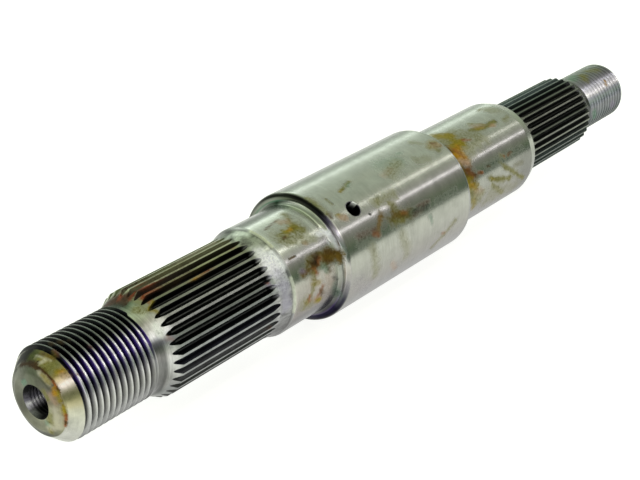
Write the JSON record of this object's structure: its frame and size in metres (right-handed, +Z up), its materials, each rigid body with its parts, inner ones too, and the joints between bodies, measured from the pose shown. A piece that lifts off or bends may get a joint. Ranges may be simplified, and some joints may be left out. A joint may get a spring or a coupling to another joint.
{
  "type": "splined shaft",
  "caption": "Stepped steel shaft with splines and screw threads at both ends, two bearing seats, a wide main journal and an oil port drilled through to a cross hole.",
  "frame": {"origin": "centre of the shaft's length, on the surface that the shaft lies on, straight below its axis", "axes": "+X along the shaft's axis from the oil-port end to the far threaded end, +Z up"},
  "size_m": [0.4242, 0.06, 0.06],
  "materials": {
    "shaft_steel": "ground journals, dark cut teeth and threads, light surface rust at the shoulders"
  },
  "bodies": {
    "root": {"splined_shaft": "shaft_steel"}
  },
  "joints": []
}
